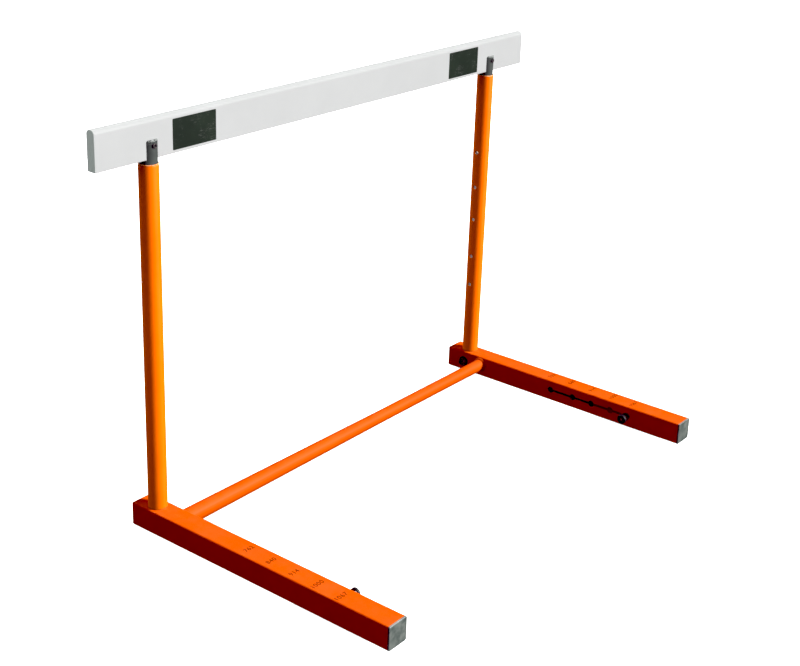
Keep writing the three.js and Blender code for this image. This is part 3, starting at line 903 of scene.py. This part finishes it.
# Its pinkish edge colour is partly wear and partly painted glints, the orange paint's reflection on
# the rims.
BLACK_BOLT = finish(
    "blackened bolt steel",
    (0.006, 0.009, 0.006),
    (0.014, 0.017, 0.014),
    0.42,
    specular=0.3,
    wear=0.8,
    edge_colour=(0.70, 0.54, 0.52),
)
ZINC = finish("zinc plated steel", (0.55, 0.55, 0.53), (0.62, 0.61, 0.57), 0.32, 0.95)
# The stem's yellow tone is partly zinc plating and partly a painted reflection of the orange foot.
YELLOW_ZINC_AND_REFLECTION = finish("yellow zinc plating", (0.62, 0.34, 0.24), (0.68, 0.40, 0.28), 0.34, 0.9)
SPRING = finish("spring steel", (0.30, 0.31, 0.32), (0.36, 0.36, 0.37), 0.3, 0.95)
WEIGHT_PAINT = finish("red-brown weight paint", (0.33, 0.030, 0.010), (0.38, 0.040, 0.014), 0.55)
INK = finish(
    "dark printed ink",
    (0.10, 0.022, 0.003),
    (0.15, 0.032, 0.004),
    0.8,
    specular=0.1,
    relief=0.01,
)

# ---- bar, panels and forks


def make_bar():
    """The board: its rounded section stepped in over a small radius at both ends.

    An end's edge is a quarter round: inset soft (1 - sin t) at soft (1 - cos t) from the end. Wear
    fades out over the next few millimetres.
    """
    corners = (BAR_EDGE, BAR_EDGE, 1.2, 1.2)
    half = BAR_LENGTH / 2
    soft, clean, even = 1.0, 5, 40
    turns = np.linspace(0, QUARTER, 4)
    near = [(soft * (1 - np.sin(t)), half - soft * (1 - np.cos(t))) for t in turns]
    layers = [(inset, x, 1.0) for inset, x in near] + [(0.0, half - clean, 0.0)]
    layers += [(0.0, x, 0.0) for x in np.linspace(half - even, even - half, 9)]
    layers += [(0.0, clean - half, 0.0)] + [(inset, -x, 1.0) for inset, x in near[::-1]]
    loops = [
        (rounded_square(BAR_THICKNESS, BAR_HEIGHT, corners, inset, 10), x, wear)
        for inset, x, wear in layers
    ]
    shape = stacked(loops, "X", (0, POST_Y, (BAR_LOW + BAR_TOP) / 2))
    piece("top_board", shape, BOARD, "bar_assembly", ["top_bar"])


def make_panels():
    """The dark panels: thin sheets with small round corners and a soft edge (inset, depth)."""
    corner = 1.5
    edge = ((0.0, PANEL_THICKNESS), (0.0, 0.2), (0.08, 0.06), (0.25, 0.0))
    loops = [
        (rounded_square(PANEL_HEIGHT, PANEL_WIDTH, (corner,) * 4, inset), depth, 1.0)
        for inset, depth in edge
    ]
    middle = BAR_LOW + PANEL_RISE + PANEL_HEIGHT / 2
    for side, sign in SIDES:
        x = -sign * (PANEL_OUTER_X - PANEL_WIDTH / 2)
        shape = stacked(loops, "Y", (x, BAR_FRONT - PANEL_THICKNESS, middle))
        nodes = [f"{side}_dark_panel"]
        piece(f"{side}_panel_sheet", shape, DARK_SHEET, "bar_assembly", nodes)


def make_forks():
    """The forks. Towards the ears' tops the wear rises as (z - FORK_HIGH + 5) / 2.5 times the rim
    value, which paints a light highlight band along their rounded tops.
    """
    points, groups, wear, normals = fork_wall()
    # This light band along the ears' rounded tops is a painted highlight.
    wear = np.maximum(wear, RIM_WEAR_AND_HIGHLIGHT * np.clip((points[:, 2] - FORK_HIGH + 5) / 2.5, 0, 1))
    shape = (points, groups, wear, normals)
    pair("fork", shape, DARK_STEEL, "bar_assembly", "bar_fork")


def socket_head(angle, r, h):
    """Ring radii of a button head: round outside, a hexagon inside the socket."""
    return np.where((h > 0.5) & (r < 2.3), hexagon(angle, 2 * r), r)


def make_bar_bolts():
    """Button head with a hexagon socket in front, shank through the bar, end behind the nut.

    The head's rim is a quarter round of radius edge. The bolt is turned along +Y and then mirrored
    in Y, so that its head looks forward.
    """
    shank, head, edge, back = 3.0, 4.4, 0.7, -39.0
    profile = [(0, back), (shank - edge, back), (shank, back + 0.8), (shank, 0), (head, 0)]
    profile += [(head, 0.6)]
    turns = np.linspace(0.1, 0.95, 6) * QUARTER
    profile += [(head - edge + edge * np.cos(t), 1.3 + edge * np.sin(t)) for t in turns]
    profile += [(2.25, 2.05), (2.0, 1.9), (2.0, 0.8), (0, 0.8)]
    points, groups, wear, _ = turned(profile, "Y", (0, 0, 0), 48, socket_head, 0.25)
    points = points * np.array([1, -1, 1]) + np.array([0, POST_Y - FORK_R, BOLT_Z])
    groups = [faces[:, ::-1] for faces in groups]
    shape = (points, groups, wear, None)
    pair("bar_screw", shape, BLACK_BOLT, "bar_assembly", "bar_bolt")


make_bar()
make_panels()
make_forks()
make_bar_bolts()

# ---- uprights


def make_uprights():
    """The sleeves and, inside them, the posts.

    A sleeve's wear is RIM_WEAR_AND_HIGHLIGHT (z - SLEEVE_HIGH + 4.5) / 4 towards its top, and at most
    (z - SLEEVE_LOW - 4.5) / 36 in its lowest 4.5 mm, which shows as a slightly dark ring.
    """
    ring, fade, dark = 4.5, 4, 36
    holes = [(height, SLEEVE_HOLE_R) for height in LOCK_HOLES]
    shape = pierced_round(SLEEVE_R, SLEEVE_WALL, SLEEVE_LOW, SLEEVE_HIGH, holes)
    points, groups, wear, normals = shape
    z = points[:, 2]
    wear = np.maximum(wear, RIM_WEAR_AND_HIGHLIGHT * np.clip((z - SLEEVE_HIGH + ring) / fade, 0, 1))
    # Here the wear goes below 0, so the inner-wall mask mixes in the dark wall colour: darker
    # towards the bottom edge.
    least = np.minimum(wear, (z - SLEEVE_LOW - ring) / dark)
    wear = np.where(z < SLEEVE_LOW + ring, least, wear)
    shape = (points, groups, wear, normals)
    pair("sleeve", shape, UPRIGHT_ORANGE_PAINTED_LIGHTER, "bar_assembly", "outer_sleeve")
    holes = [(LOCK_Z, BUTTON_HOLE_R), (POST_BOLT_Z, POST_BOLT_HOLE_R)]
    shape = pierced_round(POST_R, POST_WALL, POST_LOW, POST_HIGH, holes, 0.2)
    pair("post_tube", shape, POST_STEEL, "base_frame", "inner_post")


def make_buttons():
    """Lock button: flange, round shank and a domed tip that shows in the sleeve's top hole.

    The tip's edge is a quarter ellipse, edge wide and rise high.
    """
    flange, shank, edge, rise = 5.5, 3.7, 1.0, 0.85
    back, seat, tip, end = 6.475, 7.975, 14.8, 15.8
    profile = [(0, back), (flange, back), (flange, seat), (shank, seat), (shank, tip)]
    turns = np.linspace(0.1, 0.9, 5) * QUARTER
    profile += [(shank - edge + edge * np.cos(t), tip + rise * np.sin(t)) for t in turns]
    profile += [(1.2, end), (0, end)]
    shape = turned(profile, "X", (0, POST_Y, LOCK_Z), 40, radius=0.2)
    pair("button_pin", shape, ZINC, "{side}_button", "lock_button")


make_uprights()
make_buttons()

# ---- feet


def make_plugs():
    """Toe plug: a soft-edged face, the flange flush with the tube, and the hollow insert behind.

    Layers are (width, corner, inset, depth, wear). The face's edge is a quarter round: inset
    bevel (1 - sin t) at depth bevel (1 - cos t).
    """
    bevel, insert, wall, end = 0.9, 40.4, 2.4, 21.5
    bore = insert - 2 * wall
    layers = [(FOOT, FOOT_CORNER, 2.2, 0.0, 0.0)]
    # The wear on this round gives the face's edge a light rim: partly scuffing, partly a painted
    # highlight.
    for t in np.linspace(0, QUARTER, 5):
        layers.append((FOOT, FOOT_CORNER, bevel * (1 - np.sin(t)), bevel * (1 - np.cos(t)), 1.0))
    layers += [
        (FOOT, FOOT_CORNER, 0.0, PLUG_FLANGE - 0.2, 0.0),
        (FOOT, FOOT_CORNER, 0.2, PLUG_FLANGE, 0.0),
        (insert, 1.0, 0.0, PLUG_FLANGE, 0.0),
        (insert, 1.0, 0.0, end - 1.0, 0.0),
        (insert, 1.0, 0.8, end, 0.0),
        (bore, 1.0, 0.0, end, 0.0),
        (bore, 1.0, 0.0, PLUG_FLANGE, 0.0),
    ]
    loops = [(even_square(*square), depth, wear) for *square, depth, wear in layers]
    shape = stacked(loops, "Y", (0, TOE, FOOT_MIDDLE))
    pair("end_plug", shape, GREY_PLASTIC, "base_frame", "toe_plug")


def make_heels():
    """Heel plate: a square with round corners and soft edges (inset, y)."""
    width, corner = 41.0, 2.0
    edge = ((0.3, 296.0), (0.0, 296.3), (0.0, 297.5), (0.2, 297.85), (0.5, HEEL))
    loops = [(even_square(width, corner, inset), y, 1.0) for inset, y in edge]
    shape = stacked(loops, "Y", (0, 0, FOOT_MIDDLE))
    pair("heel_cap", shape, ORANGE, "base_frame", "heel_plate")


def make_brace():
    """Brace tube with a rippled weld bead at both ends.

    The bead is a quarter ellipse: radius BRACE_R + 3.4 cos t at reach - 4.2 sin t along the tube,
    and its ripple adds 0.8 sqrt(lift) (1.2 - lift) (|cos p| - 0.35), with p = 13 a + 0.6 sin 3a.
    """
    reach = FOOT_X - INNER_FACE
    rise, length, wall, clear = 3.4, 4.2, 2.0, 6
    turns = np.linspace(0, QUARTER, 9)
    bead = [(BRACE_R + rise * np.cos(t), reach - length * np.sin(t)) for t in turns]
    low = [(r, -h) for r, h in bead]
    bore = BRACE_R - wall
    middle = [(BRACE_R, x) for x in np.linspace(clear - reach, reach - clear, 12)]
    profile = [(bore, -reach)] + low + middle + bead[::-1] + [(bore, reach)]

    def ripple(angle, r, h):
        lift = np.clip((r - BRACE_R) / rise, 0, 1)
        phase = 13 * angle + 0.6 * np.sin(3 * angle)
        return r + 0.8 * np.sqrt(lift) * (1.2 - lift) * (np.abs(np.cos(phase)) - 0.35)

    centre = (0, BRACE_Y, BRACE_Z)
    points, groups, wear, _ = turned(profile, "X", centre, 130, ripple, 0.3, closed=True)
    shape = (points, groups, 0 * wear, None)
    piece("brace", shape, ORANGE, "base_frame", ["brace_tube"])


def make_post_bolts():
    """Hexagon head whose corners are turned off by a cone, with its washer.

    At height h the cone's radius is flats / 2 + 1.7 (top - h), and the lesser one counts.
    """
    centre = (0, POST_Y, POST_BOLT_Z)
    thick, height, flats, wide = 2.0, 6.4, 16.0, 10
    tip, shank, hole, washer = 4.8, 5, POST_BOLT_HOLE_R, 11.5
    seat = INNER_FACE + thick
    top = seat + height

    def head(angle, r, h):
        cone = flats / 2 + (top - h) * 1.7
        shaped = np.minimum(hexagon(angle, flats), cone)
        return np.where(r > shank + 0.5, np.minimum(r, shaped), r)

    profile = [(0, tip), (4.2, tip), (shank, tip + 0.8), (shank, seat), (wide, seat)]
    profile += [(wide, seat + rise) for rise in (1.0, 3.0, 5.0, 5.4, 5.8, 6.1)]
    profile += [(7.7, top), (0, top)]
    shape = turned(profile, "X", centre, 72, head, 0.2)
    pair("foot_bolt", shape, BLACK_BOLT, "base_frame", "post_bolt")
    ring = [(hole, INNER_FACE), (washer, INNER_FACE), (washer, seat), (hole, seat)]
    shape = turned(ring, "X", centre, 64, radius=0.3, closed=True)
    pair("foot_washer", shape, BLACK_BOLT, "base_frame", "post_washer")


pair("foot", pierced_foot(), ORANGE, "base_frame", "foot_tube")
make_plugs()
make_heels()
make_brace()
make_post_bolts()

# ---- plunger knobs


def make_knobs():
    """Stem with its collar and neck, the shield ring on the stem, and the dished head."""
    centre, body = (0, KNOB_Y, SLOT_Z), "{side}_plunger"
    back, collar, seat, neck, end, top = -8.5, 22.8, 26.8, 39.3, 44.2, 45.7
    chamfer, dish, thick = 1.4, 1.1, 1.5
    stem = [(0, back), (2.2, back), (2.2, collar), (5.5, collar), (5.5, seat), (4, seat)]
    stem += [(4, neck), (2.5, neck), (2.5, end), (0, end)]
    shape = turned(stem, "X", centre, 48, radius=0.3)
    pair("plunger_stem", shape, YELLOW_ZINC_AND_REFLECTION, body, "knob_stem")
    shield = [(3.9, seat), (8.5, seat), (8.5, seat + thick), (3.9, seat + thick)]
    shape = turned(shield, "X", centre, 56, radius=0.3, closed=True)
    pair("plunger_shield", shape, BLACK_BOLT, body, None)
    head = [(2.65, neck), (8.6, neck), (10, neck + chamfer), (10, top - chamfer), (8.6, top)]
    head += [(6.4, top), (5.3, top - dish), (2.65, top - dish)]
    shape = turned(head, "X", centre, 64, radius=0.5, closed=True)
    pair("plunger_head", shape, BLACK_PLASTIC, body, "knob_head")


make_knobs()

# ---- height numbers


def number_mesh(text, height, thick):
    """Points and faces of a line of digits in mm, centred, upright along +Y, thick along +Z."""
    curve = bpy.data.curves.new(text, "FONT")
    curve.body = text
    curve.align_x, curve.align_y = "CENTER", "CENTER"
    curve.resolution_u = 6
    curve.space_character = 1.1
    curve.extrude = 0.02
    held = bpy.data.objects.new(text, curve)
    bpy.context.scene.collection.objects.link(held)
    bpy.context.view_layer.update()
    drawn = held.evaluated_get(bpy.context.evaluated_depsgraph_get())
    mesh = bpy.data.meshes.new_from_object(drawn)
    bpy.data.objects.remove(held)
    work = bmesh.new()
    work.from_mesh(mesh)
    bmesh.ops.remove_doubles(work, verts=work.verts, dist=1e-5)
    bmesh.ops.triangulate(work, faces=work.faces)
    bmesh.ops.recalc_face_normals(work, faces=work.faces)
    work.to_mesh(mesh)
    work.free()
    points = np.zeros(len(mesh.vertices) * 3)
    mesh.vertices.foreach_get("co", points)
    faces = np.zeros(len(mesh.polygons) * 3, int)
    mesh.polygons.foreach_get("vertices", faces)
    points, faces = points.reshape(-1, 3), faces.reshape(-1, 3)
    bpy.data.meshes.remove(mesh)
    low, high = points.min(axis=0), points.max(axis=0)
    points = points - (low + high) / 2
    scale = height / (high[1] - low[1])
    return points * np.array([scale, scale, thick / (high[2] - low[2])]), faces


def make_numbers():
    """The bar's heights, printed in a row along the top of each foot, at (x, y) from its middle."""
    lines = ("762", "840", "914", "1000", "1067")
    rows = {
        "left": ((1.4, 31.1), (-1.3, -23.3), (-2.5, -76.8), (-2.9, -129.6), (-4.3, -182.2)),
        "right": ((3.1, 33.4), (3.7, -18.1), (2.5, -71.3), (2.4, -123.9), (1.1, -174.9)),
    }
    high, thick = 9.3, 0.08
    for side, sign in SIDES:
        all_points, all_faces, count = [], [], 0
        for text, (x, y) in zip(lines, rows[side]):
            points, faces = number_mesh(text, high, thick)
            all_points.append(points + np.array([-sign * FOOT_X + x, y, FOOT + thick / 2]))
            all_faces.append(faces + count)
            count += len(points)
        points, faces = np.concatenate(all_points), np.concatenate(all_faces)
        normals = np.repeat(unit(face_normals(points, faces))[:, None], 3, axis=1)
        shape = (points, [faces], np.zeros(len(points)), [normals])
        piece(f"{side}_height_numbers", shape, INK, "base_frame")


make_numbers()

# ---- pieces kept from the solids

KEPT = {
    "bar_washer": ZINC,
    "bar_nut": ZINC,
    "post_spacer": ZINC,
    "post_nut": ZINC,
    "button_spring": SPRING,
    "plunger_spring": SPRING,
    "knob_retainer": ZINC,
    "counterweight": WEIGHT_PAINT,
}
for node_name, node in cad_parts.items():
    kept = KEPT.get(node_name.split("_", 1)[1])
    if kept is not None:
        node.data.materials.clear()
        node.data.materials.append(kept)

# ---- floor, light and camera


def make_floor():
    """A wide pale floor that throws only a little light back on the object."""
    reach, sink = 30.0, 0.0005
    mesh = bpy.data.meshes.new("floor")
    signs = ((-1, -1), (1, -1), (1, 1), (-1, 1))
    mesh.from_pydata([(x * reach, y * reach, -sink) for x, y in signs], [], [(0, 1, 2, 3)])
    floor = bpy.data.objects.new("floor", mesh)
    bpy.context.scene.collection.objects.link(floor)
    made = bpy.data.materials.new("pale floor")
    made.use_nodes = True
    tree = made.node_tree
    shader = tree.nodes["Principled BSDF"]
    path = tree.nodes.new("ShaderNodeLightPath")
    felt, seen = (0.019, 0.019, 0.019, 1.0), (0.93, 0.93, 0.93, 1.0)
    shade = blended(tree, path.outputs["Is Camera Ray"], felt, seen)
    tree.links.new(shade, shader.inputs["Base Color"])
    shader.inputs["Roughness"].default_value = 0.9
    shader.inputs["Specular IOR Level"].default_value = 0.0
    mesh.materials.append(made)
    return floor


def make_world():
    """White where the camera looks, and a weaker pale light from all round."""
    world = bpy.data.worlds.new("studio")
    bpy.context.scene.world = world
    world.use_nodes = True
    tree = world.node_tree
    tree.nodes.clear()
    path = tree.nodes.new("ShaderNodeLightPath")
    mix = tree.nodes.new("ShaderNodeMixShader")
    out = tree.nodes.new("ShaderNodeOutputWorld")
    tree.links.new(path.outputs["Is Camera Ray"], mix.inputs[0])
    felt, seen = ((0.90, 1.0, 0.95, 1), 0.035), ((1, 1, 1, 1), 1.0)
    for socket, (colour, strength) in ((1, felt), (2, seen)):
        node = tree.nodes.new("ShaderNodeBackground")
        node.inputs["Color"].default_value = colour
        node.inputs["Strength"].default_value = strength
        tree.links.new(node.outputs[0], mix.inputs[socket])
    tree.links.new(mix.outputs[0], out.inputs["Surface"])


def soft_sun(name, azimuth, elevation, level, softness, receivers, colour=(1, 1, 1)):
    """An even light from azimuth degrees (0 from -Y, 90 from +X) that falls on its receivers.

    A white surface square to it comes out at the level, so its strength is pi times that.
    """
    light = bpy.data.lights.new(name, "SUN")
    light.energy = np.pi * level
    light.angle = np.radians(softness)
    light.color = colour
    held = bpy.data.objects.new(name, light)
    a, e = np.radians(azimuth), np.radians(elevation)
    back = np.array([np.sin(a) * np.cos(e), -np.cos(a) * np.cos(e), np.sin(e)])
    right = unit(np.cross((0, 1, 0) if elevation > 80 else (0, 0, 1), back))
    matrix = np.eye(4)
    matrix[:3, :3] = np.stack([right, np.cross(back, right), back], axis=1)
    held.matrix_world = Matrix(matrix.tolist())
    bpy.context.scene.collection.objects.link(held)
    group = bpy.data.collections.new(f"{name} falls on")
    for receiver in receivers:
        group.objects.link(receiver)
    held.light_linking.receiver_collection = group


def make_lights(floor):
    """Suns on some pieces each, as the board, the frame and the feet are lit unlike one another.

    The low pieces don't show to diffuse bounces, so that their bright tops leave the rest as it is.
    """
    everything = [o for o in bpy.context.scene.objects if o.type == "MESH" and o is not floor]

    def named(*words):
        return [o for o in everything if any(word in o.name for word in words)]

    board, sleeves, brace = named("board", "panel_sheet"), named("sleeve"), named("brace")
    uprights, lock_parts = sleeves + named("fork"), named("button_pin", "post_tube")
    low_words = ("foot", "plug", "heel", "brace", "numbers", "plunger", "post_bolt", "post_washer")
    low_parts = named(*low_words)
    feet = [o for o in low_parts if o not in brace]
    rest = [o for o in everything if o not in board and o not in low_parts]
    for low_part in low_parts:
        low_part.visible_diffuse = False
    soft_sun("wide on the board", 30, 45, 0.22, 150, board)
    soft_sun("front on the board", 0, 20, 0.93, 60, board)
    soft_sun("left on the board", -80, 15, 0.2, 60, board, (0.7, 1.0, 0.84))
    soft_sun("back on the board", 178, 42, 0.7, 30, board)
    soft_sun("key on the feet", 30, 35, 1.92, 6, feet)
    soft_sun("key on the brace", 30, 35, 1.55, 10, brace)
    soft_sun("top on the feet", 0, 85, 0.1, 60, low_parts)
    soft_sun("left on the feet", -90, 15, 0.115, 60, low_parts, (1.0, 0.4, 0.4))
    soft_sun("front on the frame", 30, 8, 1.33, 18, rest)
    soft_sun("front on the uprights", 32, 8, 1.0, 18, sleeves)
    soft_sun("top on the frame", 0, 85, 0.98, 60, rest)
    soft_sun("left on the uprights", -100, 10, 0.16, 60, uprights, (0.88, 1.0, 0.8))
    soft_sun("left on the lock parts", -95, 20, 1.3, 30, lock_parts, (1.0, 0.88, 0.84))
    soft_sun("back on the frame", 178, 15, 0.5, 40, rest)
    soft_sun("back on the feet", 178, 4, 0.5, 20, low_parts)
    soft_sun("floor", 0, 88, 3.2, 120, [floor])


def make_camera():
    """The camera fitted to the object's edges: turned from +Y by yaw, then pitched and rolled."""
    place = (-2.030048, -1.483973, 1.370718)
    yaw, pitch, roll = 0.9389985, -0.3606149, 0.0465583
    width_px, height_px, focal_px = 800.0, 666.0, 1450.2314
    centre_px = (439.67, 275.41)
    ahead = np.array([np.sin(yaw) * np.cos(pitch), np.cos(yaw) * np.cos(pitch), np.sin(pitch)])
    level = np.array([np.cos(yaw), -np.sin(yaw), 0.0])
    upright = np.cross(level, ahead)
    right = level * np.cos(roll) + upright * np.sin(roll)
    up = upright * np.cos(roll) - level * np.sin(roll)
    matrix = np.eye(4)
    matrix[:3, :3] = np.stack([right, up, -ahead], axis=1)
    matrix[:3, 3] = place
    lens = bpy.data.cameras.new("camera")
    lens.sensor_fit = "HORIZONTAL"
    lens.sensor_width = 36.0
    lens.lens = focal_px / width_px * lens.sensor_width
    lens.shift_x = (width_px / 2 - centre_px[0]) / width_px
    lens.shift_y = (centre_px[1] - height_px / 2) / width_px
    lens.clip_start, lens.clip_end = 0.05, 100.0
    held = bpy.data.objects.new("camera", lens)
    held.matrix_world = Matrix(matrix.tolist())
    bpy.context.scene.collection.objects.link(held)
    bpy.context.scene.camera = held


ground = make_floor()
make_world()
make_lights(ground)
make_camera()
view = bpy.context.scene.view_settings
view.view_transform = "Standard"
view.use_curve_mapping = True
view.curve_mapping.black_level = (0.012, 0.021, 0.012)
view.curve_mapping.update()
